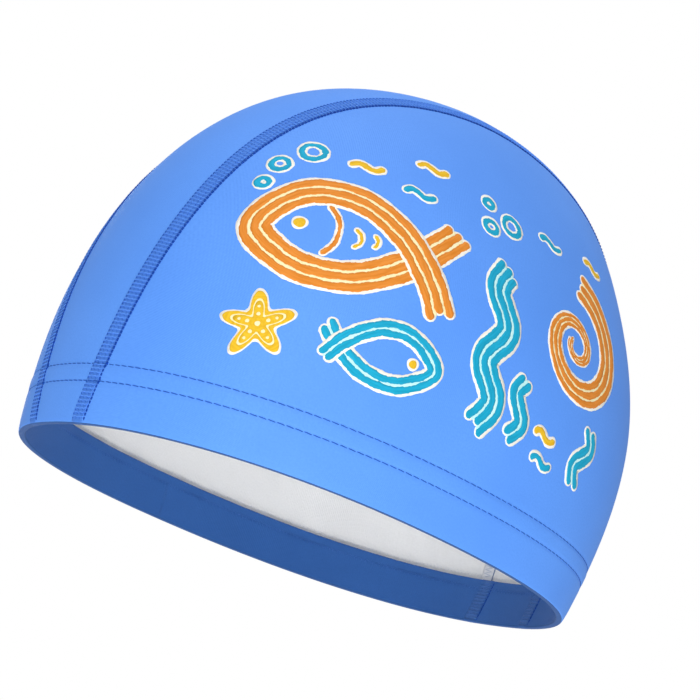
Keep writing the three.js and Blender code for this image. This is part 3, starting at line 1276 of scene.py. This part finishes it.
@dataclass(frozen=True)
class PrintField:
    """Flat ground of the print, in mm, on the left panel: u runs towards the nape and v towards the top."""

    form: CrownForm
    relief: ClothRelief
    azimuth_deg: float = -12.0
    elevation_deg: float = 17.0
    centre_y: float = 5.0
    centre_z: float = 45.0
    radius: float = 85.0

    def place(self, u: Array, v: Array, lift: Array) -> Array:
        """Lays points of the print on the cap.

        Args:
            u: Distance towards the nape.
            v: Distance towards the top.
            lift: Height over the cloth.

        Returns:
            Points in the cap's frame.
        """
        azimuth, elevation = math.radians(self.azimuth_deg), math.radians(self.elevation_deg)
        level = math.cos(elevation)
        middle = np.array([level * math.cos(azimuth), level * math.sin(azimuth), math.sin(elevation)])
        up = unit(np.array([0.0, 0.0, 1.0]) - middle * middle[2])
        across = np.cross(up, middle)
        reach = np.maximum(np.hypot(u, v), 1e-9)
        turn = reach / self.radius
        sideways = (u / reach)[..., None] * across + (v / reach)[..., None] * up
        direction = np.cos(turn)[..., None] * middle + np.sin(turn)[..., None] * sideways
        origin = vector(0.0, self.centre_y, self.centre_z)
        bare = self.form.hit(origin, direction)
        return bare + direction * (self.relief.at(bare) + lift)[..., None]


def smooth_path(knots: Knots, step: float, closed: bool = False) -> Array:
    """Even points on a smooth curve through knots.

    Args:
        knots: Points that the curve passes, in mm.
        step: Distance between its points.
        closed: Whether it joins up.

    Returns:
        The points, with the first again at the end if closed.
    """
    p = np.array(knots, float)
    ends = (p[-1:], p[:2]) if closed else (2 * p[:1] - p[1:2], 2 * p[-1:] - p[-2:-1])
    q = np.concatenate([ends[0], p, ends[1]])
    t = np.linspace(0, 1, 40, endpoint=False)[:, None]
    pieces = []
    for a, b, c, d in zip(q, q[1:], q[2:], q[3:]):
        pieces.append(
            0.5 * (2 * b + (c - a) * t + (2 * a - 5 * b + 4 * c - d) * t**2 + (3 * b - a - 3 * c + d) * t**3)
        )
    curve = np.concatenate([*pieces, q[-2:-1]])
    run = travelled(curve)
    even = np.linspace(0, run[-1], max(int(run[-1] / step), 8))
    return np.stack([np.interp(even, run, curve[:, k]) for k in (0, 1)], -1)


@dataclass
class Stroke:
    """Crayon-like stroke of the print: lanes of ink side by side on a pale ground."""

    ink: Ink
    knots: Knots
    lanes: int = 3
    closed: bool = False
    scale: tuple[float, float] = (1.0, 1.0)
    climb: float = 0.0
    step: float = 0.5

    @cached_property
    def path(self) -> Array:
        """Even points along the stroke's middle."""
        return smooth_path(self.knots, self.step, self.closed)

    def widths(self, share: Array) -> Array:
        """Scale of the lanes at shares of the stroke's length."""
        return self.scale[0] + (self.scale[1] - self.scale[0]) * share


def spiral(centre: Point, inner: float, outer: float, turns: float, start_deg: float) -> Knots:
    """Points of a spiral that widens evenly with each turn, from its eye outward."""
    turn = np.linspace(0, turns, int(turns * 14) + 1)
    angle = math.radians(start_deg) + 2 * math.pi * turn
    radius = inner * (outer / inner) ** (turn / turns)
    return list(zip(centre[0] + radius * np.cos(angle), centre[1] + radius * np.sin(angle)))


def circle(centre: Point, radius: float) -> Knots:
    """Points round a circle."""
    turn = np.linspace(0, 2 * math.pi, 10, endpoint=False)
    return list(zip(centre[0] + radius * np.cos(turn), centre[1] + radius * np.sin(turn)))


FISH: Knots = [(-7, 18), (-14, 9), (-24, -2), (-38, -10), (-54, -9), (-66, 3)]
FISH += [(-55, 16), (-39, 17), (-25, 9), (-15, -3), (-9, -14)]
GILL: Knots = [(-47, -5), (-44, -1), (-43, 4), (-44, 9), (-47, 13)]
SMALL_FISH: Knots = [(-41, -24), (-35, -31), (-26, -36), (-16, -36), (-7, -29)]
SMALL_FISH += [(-15, -22), (-25, -22), (-34, -28), (-40, -36)]
KELP: Knots = [(10, -39), (15, -29), (8, -18), (14, -6), (8, 6), (12, 16)]
LOW_KELP: Knots = [(23, -37), (28, -30), (23, -22), (27, -15)]
BACK_KELP: Knots = [(61, -36), (57, -29), (63, -21), (59, -14)]
SHELL_CENTRE = (44.0, 6.0)
STAR_CENTRE = (-58.0, -29.0)
BUBBLES = (
    (-66.0, 20.0, 1.7),
    (-62.0, 28.0, 2.5),
    (-53.0, 34.0, 3.3),
    (3.0, 27.0, 2.2),
    (11.0, 32.0, 3.2),
    (2.0, 36.0, 1.6),
)
EYES = ((-54.0, 5.0, 1.7), (-14.0, -29.0, 1.2))
SCALES = ((-39.0, -0.5, 7.0), (-33.5, 1.2, 4.8))
TICKS = (
    (Ink.YELLOW, -43.0, 30.0),
    (Ink.TEAL, -27.0, 25.5),
    (Ink.YELLOW, -23.0, 38.0),
    (Ink.TEAL, 23.0, 36.0),
    (Ink.YELLOW, 46.0, 43.0),
    (Ink.YELLOW, 34.0, -29.5),
    (Ink.TEAL, 36.0, -37.0),
)


def tick(u: float, v: float) -> Knots:
    """Points of a short wavy mark that starts there."""
    return [(u, v), (u + 3.2, v + 1.9), (u + 7.4, v + 0.2), (u + 11.0, v + 2.1)]


def scale_mark(u: float, v: float, size: float) -> Knots:
    """Points of a fish scale's edge, an arc of that size that starts there and bulges towards the tail."""
    shares = ((0.0, 0.0), (0.26, 0.21), (0.35, 0.5), (0.26, 0.79), (0.0, 1.0))
    return [(u + size * across, v + size * up) for across, up in shares]


Layers = dict[Ink, list[Mesh]]


@dataclass
class SeaPrint:
    """Print of sea motifs in crayon strokes: two fish, a coiled shell, kelp, a starfish and bubbles."""

    ground: PrintField
    lane: float = 2.45
    gap: float = 0.8
    outline: float = 0.85
    ground_lift: float = 0.05
    ink_lift: float = 0.1
    lane_step: float = 0.006
    root: float = -0.03
    ground_rough: float = 0.1
    ink_rough: float = 0.14
    line_rough: float = 0.03
    line_spill: float = 0.2
    line_cut: int = 4
    step_up: float = 0.02
    dot_rise: float = 0.03
    seed: int = 7
    drawn: int = 0

    @property
    def motifs(self) -> list[Stroke]:
        """All strokes, in the order in which they are drawn."""
        shell = spiral(SHELL_CENTRE, 2.8, 25.0, 1.9, 130)
        return [
            Stroke(Ink.ORANGE, FISH, climb=0.12),
            Stroke(Ink.ORANGE, GILL, lanes=1, scale=(0.5, 0.5)),
            *[Stroke(Ink.YELLOW, scale_mark(*mark), lanes=1, scale=(0.42, 0.42)) for mark in SCALES],
            Stroke(Ink.TEAL, SMALL_FISH, lanes=2, climb=0.12, scale=(0.8, 0.8)),
            Stroke(Ink.TEAL, KELP),
            Stroke(Ink.TEAL, LOW_KELP, lanes=2),
            Stroke(Ink.TEAL, BACK_KELP, lanes=2),
            Stroke(Ink.ORANGE, shell, scale=(0.22, 1.3)),
            *[Stroke(ink, tick(u, v), lanes=1, scale=(0.78, 0.78)) for ink, u, v in TICKS],
            *[
                Stroke(Ink.TEAL, circle((u, v), r), lanes=1, closed=True, scale=(0.7, 0.7), step=0.3)
                for u, v, r in BUBBLES
            ],
        ]

    def random(self) -> np.random.Generator:
        """Seeded numbers, others for each lane drawn."""
        self.drawn += 1
        return np.random.default_rng(self.seed + self.drawn)

    def ragged(self, run: Array, size: float) -> Array:
        """Offset of a ragged edge along its run, in mm."""
        periods = np.array([0.9, 1.7, 3.1, 6.5, 14.0])
        shares = np.array([0.35, 0.4, 0.5, 0.7, 0.8])
        phases = self.random().uniform(0, 2 * math.pi, len(periods))
        waves = shares * np.sin(2 * math.pi * run[:, None] / periods + phases)
        return size * waves.sum(-1)

    def slab(self, field_points: Array, uv: Array, lift: Array, root: Array, closed: bool) -> Mesh:
        """Thin body over a grid of print points, between two heights over the cloth."""
        u, v = field_points[..., 0], field_points[..., 1]
        upper = self.ground.place(u, v, lift + 0 * u)
        lower = self.ground.place(u, v, root + 0 * u)
        rings = np.concatenate([upper, lower[:, ::-1]], axis=1)
        rows, size = rings.shape[:2]
        faces = grid_faces(rows, size, close_rows=closed, close_columns=True)
        if not closed:
            faces += end_faces(rows, size)
        both = np.concatenate([uv, uv[:, ::-1]], axis=1)
        return outward(Mesh(rings.reshape(-1, 3), faces, both.reshape(-1, 2)))

    def band(
        self, path: Array, middle: Array, half: Array, lift: Array, root: Array, rough: float, closed: bool
    ) -> Mesh:
        """Band of ink beside a path, with round ends and ragged edges.

        Args:
            path: Points of the path.
            middle: The band's distance to the left of the path.
            half: Half its width.
            lift: Its height over the cloth.
            root: Where its underside lies.
            rough: Size of the raggedness.
            closed: Whether the path joins up.

        Returns:
            The band as a thin closed body.
        """
        run = travelled(path)
        heading = unit(np.gradient(path, axis=0))
        if closed:
            heading[[0, -1]] = unit(path[1] - path[-2])
        left = np.stack([-heading[:, 1], heading[:, 0]], -1)
        near_end = np.clip(np.minimum(run, run[-1] - run) / half, 0.04, 1)
        width = half * (1.0 if closed else np.sqrt(1 - (1 - near_end) ** 2))
        fade = width / half
        plus = width + self.ragged(run, rough) * fade
        minus = width + self.ragged(run, rough) * fade
        share = np.linspace(0, 1, 5)[None, :]
        offset = (middle - minus)[:, None] + (plus + minus)[:, None] * share
        grid = path[:, None] + left[:, None] * offset[..., None]
        uv = pairs(run[:, None] + 40 * self.drawn, offset)
        stop = len(path) - 1 if closed else len(path)
        both = [np.broadcast_to(np.asarray(h), run.shape)[:stop, None] for h in (lift, root)]
        return self.slab(grid[:stop], uv[:stop], both[0], both[1], closed)

    def draw(self, stroke: Stroke, layers: Layers) -> None:
        """Adds one stroke's lanes, their grounds and lines; the lanes end unevenly, as a worn crayon's do."""
        numbers = self.random()
        for lane in range(stroke.lanes):
            trims = (0, 0) if stroke.closed or stroke.lanes == 1 else numbers.integers(0, 5, 2).tolist()
            path = stroke.path[trims[0] : len(stroke.path) - trims[1]]
            share = np.linspace(0, 1, len(path))
            scale = stroke.widths(share)
            middle = (lane - (stroke.lanes - 1) / 2) * (self.lane + self.gap) * scale
            half = self.lane / 2 * scale
            low = self.ground_lift + stroke.climb * share + self.lane_step * lane
            high = low - self.ground_lift + self.ink_lift
            outline = self.outline * np.sqrt(scale)
            ends = 0 if stroke.closed else max(int(self.outline / stroke.step), 1)
            inner = slice(ends, len(path) - ends)
            ground = self.band(
                path, middle, half + outline, low, self.root, self.ground_rough, stroke.closed
            )
            ink = self.band(
                path[inner], middle[inner], half[inner], high[inner], low[inner], self.ink_rough, stroke.closed
            )
            layers[Ink.WHITE].append(ground)
            layers[stroke.ink].append(ink)
        self.lines(stroke, layers)

    def lines(self, stroke: Stroke, layers: Layers) -> None:
        """Adds the pale lines that show between one stroke's lanes."""
        share = np.linspace(0, 1, len(stroke.path))
        scale = stroke.widths(share)
        for lane in range(stroke.lanes - 1):
            middle = (lane + 1 - stroke.lanes / 2) * (self.lane + self.gap) * scale
            low = self.ground_lift + stroke.climb * share + self.lane_step * (lane + 1)
            cut = slice(self.line_cut, len(share) - self.line_cut)
            half = (self.gap / 2 + self.line_spill) * scale
            top, root = low[cut] + self.step_up, low[cut] - self.ground_lift
            line = self.band(stroke.path[cut], middle[cut], half[cut], top, root, self.line_rough, False)
            layers[stroke.ink.line].append(line)

    def ring(self, centre: Point, inner: Array, outer: Array, lift: float, root: float) -> Mesh:
        """Layer between two outlines round a centre.

        Args:
            centre: The print point that they go round.
            inner: Radii of the inner outline, evenly round the centre.
            outer: Radii of the outer one.
            lift: The layer's height over the cloth.
            root: Where its underside lies.

        Returns:
            The layer as a thin closed body.
        """
        turn = np.linspace(0, 2 * math.pi, len(outer), endpoint=False)
        share = np.linspace(0, 1, 5)[None, :]
        radius = inner[:, None] + (outer - inner)[:, None] * share
        u = centre[0] + radius * np.cos(turn)[:, None]
        v = centre[1] + radius * np.sin(turn)[:, None]
        uv = pairs(turn[:, None] * 8.0, radius)
        return self.slab(np.stack([u, v], -1), uv, lift, root, closed=True)

    def disc(self, centre: Point, radius: float, lift: float, root: float) -> Mesh:
        """Solid round dot with a slightly ragged edge."""
        turn = np.linspace(0, 2 * math.pi, 24, endpoint=False)
        edge = radius * (1 + 0.05 * np.sin(3 * turn + 40 * radius))
        return self.ring(centre, 0 * edge, edge, lift, root)

    def eyes(self, layers: Layers) -> None:
        """Adds the fishes' eyes, yellow dots on pale ones."""
        for u, v, radius in EYES:
            ground = self.disc((u, v), radius + self.outline * 0.8, self.ground_lift, self.root)
            layers[Ink.WHITE].append(ground)
            layers[Ink.YELLOW].append(self.disc((u, v), radius, self.ink_lift, self.ground_lift))

    def starfish(self, layers: Layers, size: float = 10.0, tilt_deg: float = 100.0) -> None:
        """Adds a starfish: yellow arms with a pale line inside their outline and dots along them."""
        turn = np.linspace(0, 2 * math.pi, 200, endpoint=False)
        arm = (0.5 + 0.5 * np.cos(5 * (turn - math.radians(tilt_deg)))) ** 1.3
        body = size * (0.46 + 0.54 * arm) + self.ragged(turn * size * 0.6, 0.09)
        inner = size * (0.24 + 0.46 * arm) + self.ragged(turn * size * 0.5, 0.06)
        zero = 0 * turn
        outline = self.ring(STAR_CENTRE, zero, body + self.outline, self.ground_lift, self.root)
        line = self.ring(STAR_CENTRE, zero, body - 0.3, self.ground_lift + self.step_up, self.root)
        layers[Ink.WHITE].append(outline)
        layers[Ink.CREAM].append(line)
        for low, high in ((zero, inner), (inner + 0.7, body)):
            layers[Ink.YELLOW].append(self.ring(STAR_CENTRE, low, high, self.ink_lift, self.ground_lift))
        dots = []
        for angle in (math.radians(tilt_deg + 72 * number) for number in range(5)):
            for reach, radius in ((2.9, 0.55), (5.2, 0.42)):
                u = STAR_CENTRE[0] + reach * math.cos(angle)
                v = STAR_CENTRE[1] + reach * math.sin(angle)
                dots.append(((u, v), radius))
        dots.append((STAR_CENTRE, 0.75))
        top, root = self.ink_lift + self.dot_rise, self.ink_lift - self.step_up
        layers[Ink.CREAM] += [self.disc(centre, radius, top, root) for centre, radius in dots]

    def build(self, palette: Palette) -> list[bpy.types.Object]:
        """Makes one piece of each ink."""
        layers: Layers = {ink: [] for ink in Ink}
        for stroke in self.motifs:
            self.draw(stroke, layers)
        self.starfish(layers)
        self.eyes(layers)
        return [
            add_piece(ink.value, Mesh.joined(meshes), self.ground.form, [palette.get(ink.value)])
            for ink, meshes in layers.items()
        ]


@dataclass(frozen=True)
class Viewpoint:
    """The photograph's viewing angle: the camera stands to the cap's left front, a little below it."""

    azimuth_deg: float = 54.02
    elevation_deg: float = -2.7
    distance_mm: float = 596.4
    aside_mm: float = 22.2
    above_mm: float = 55.0
    lens_mm: float = 97.97
    sensor_mm: float = 36.0

    def build(self) -> bpy.types.Object:
        """Makes the camera, upright, looking level past the rim's middle by aside and above."""
        a, e = math.radians(self.azimuth_deg), math.radians(self.elevation_deg)
        back = Vector((math.sin(a) * math.cos(e), -math.cos(a) * math.cos(e), math.sin(e)))
        right = Vector((math.cos(a), math.sin(a), 0.0))
        up = back.cross(right)
        data = bpy.data.cameras.new("camera")
        data.lens = self.lens_mm
        data.sensor_width = self.sensor_mm
        data.clip_start = 0.01
        camera = into_scene("camera", data)
        turn = Matrix((right, up, back)).transposed().to_4x4()
        place = (right * self.aside_mm + up * self.above_mm + back * self.distance_mm) * MM
        camera.matrix_world = Matrix.Translation(place) @ turn
        bpy.context.scene.camera = camera
        return camera


@dataclass(frozen=True)
class SoftLamp:
    """Large soft area lamp that looks at the cap."""

    name: str
    place: tuple[float, float, float]
    size: float
    power: float

    def build(self) -> None:
        """Makes the lamp."""
        data = bpy.data.lights.new(self.name, "AREA")
        data.energy = self.power
        data.size = self.size
        lamp = into_scene(self.name, data)
        lamp.location = self.place
        lamp.rotation_mode = "QUATERNION"
        lamp.rotation_quaternion = Vector(self.place).to_track_quat("Z", "Y")


@dataclass(frozen=True)
class Studio:
    """Plain white surroundings, a pale floor well below the held-up cap, and soft lamps."""

    floor_z: float = -1.4
    floor_size: float = 11.0
    floor_glow: float = 0.42
    ambient: float = 0.5
    lamps: tuple[SoftLamp, ...] = (
        SoftLamp("key", (1.35, -0.7, 1.2), 1.0, 12.6),
        SoftLamp("top", (0.0, 0.1, 1.6), 1.2, 7.0),
        SoftLamp("front_low", (0.8, -0.81, -0.88), 0.8, 14.0),
        SoftLamp("back", (-1.45, 0.75, 0.1), 1.0, 8.0),
    )

    def build(self) -> None:
        """Makes world, floor and lamps."""
        world = bpy.data.worlds.new("studio")
        world.use_nodes = True
        tree = world.node_tree
        tree.nodes.clear()
        path = add_node(tree, "LightPath")
        seen = add_node(tree, "Background", {"Color": (1, 1, 1, 1), "Strength": 1.0})
        lit = add_node(tree, "Background", {"Color": (0.97, 0.985, 1, 1), "Strength": self.ambient})
        inputs = {0: path.outputs["Is Camera Ray"], 1: lit.outputs[0], 2: seen.outputs[0]}
        both = add_node(tree, "MixShader", inputs)
        add_node(tree, "OutputWorld", {"Surface": both.outputs[0]})
        bpy.context.scene.world = world
        half = self.floor_size / 2
        data = bpy.data.meshes.new("floor")
        corners = [(-half, -half, 0), (half, -half, 0), (half, half, 0), (-half, half, 0)]
        data.from_pydata(corners, [], [(0, 1, 2, 3)])
        material, floor_tree = new_material("pale_floor")
        speck = add_node(floor_tree, "TexNoise", {"Scale": 3.0}).outputs[0]
        camera_ray = add_node(floor_tree, "LightPath").outputs["Is Camera Ray"]
        finish_material(
            floor_tree,
            blended(floor_tree, speck, "f4f4f4", "f8f8f8"),
            bumped(floor_tree, speck, 0.2, 1.0),
            Roughness=0.9,
            Emission_Color=linear("ffffff"),
            Emission_Strength=calculate(floor_tree, "MULTIPLY", camera_ray, self.floor_glow),
        )
        data.materials.append(material)
        floor = into_scene("floor", data)
        floor.location.z = self.floor_z
        for lamp in self.lamps:
            lamp.build()
        bpy.context.scene.view_settings.view_transform = "Standard"


def main() -> None:
    """Builds the scene: camera, studio, cloth, seams, hem and print."""
    logging.basicConfig(level=logging.INFO, format="%(name)s %(message)s")
    Viewpoint().build()
    Studio().build()
    form = CrownForm()
    relief = ClothRelief(form)
    palette = Palette()
    left = SidePanel(form, relief, side=Side.LEFT).build(palette)
    right = SidePanel(form, relief, side=Side.RIGHT).build(palette)
    strip = CentreStrip(form, relief).build(palette)
    facing = HemFacing(form, relief).build(palette)
    left_seam = FlatSeam(form, relief, Side.LEFT).build(palette)
    right_seam = FlatSeam(form, relief, Side.RIGHT).build(palette)
    stitching = HemStitching(form, relief).build(palette)
    inks = SeaPrint(PrintField(form, relief)).build(palette)


if __name__ == "__main__":
    main()
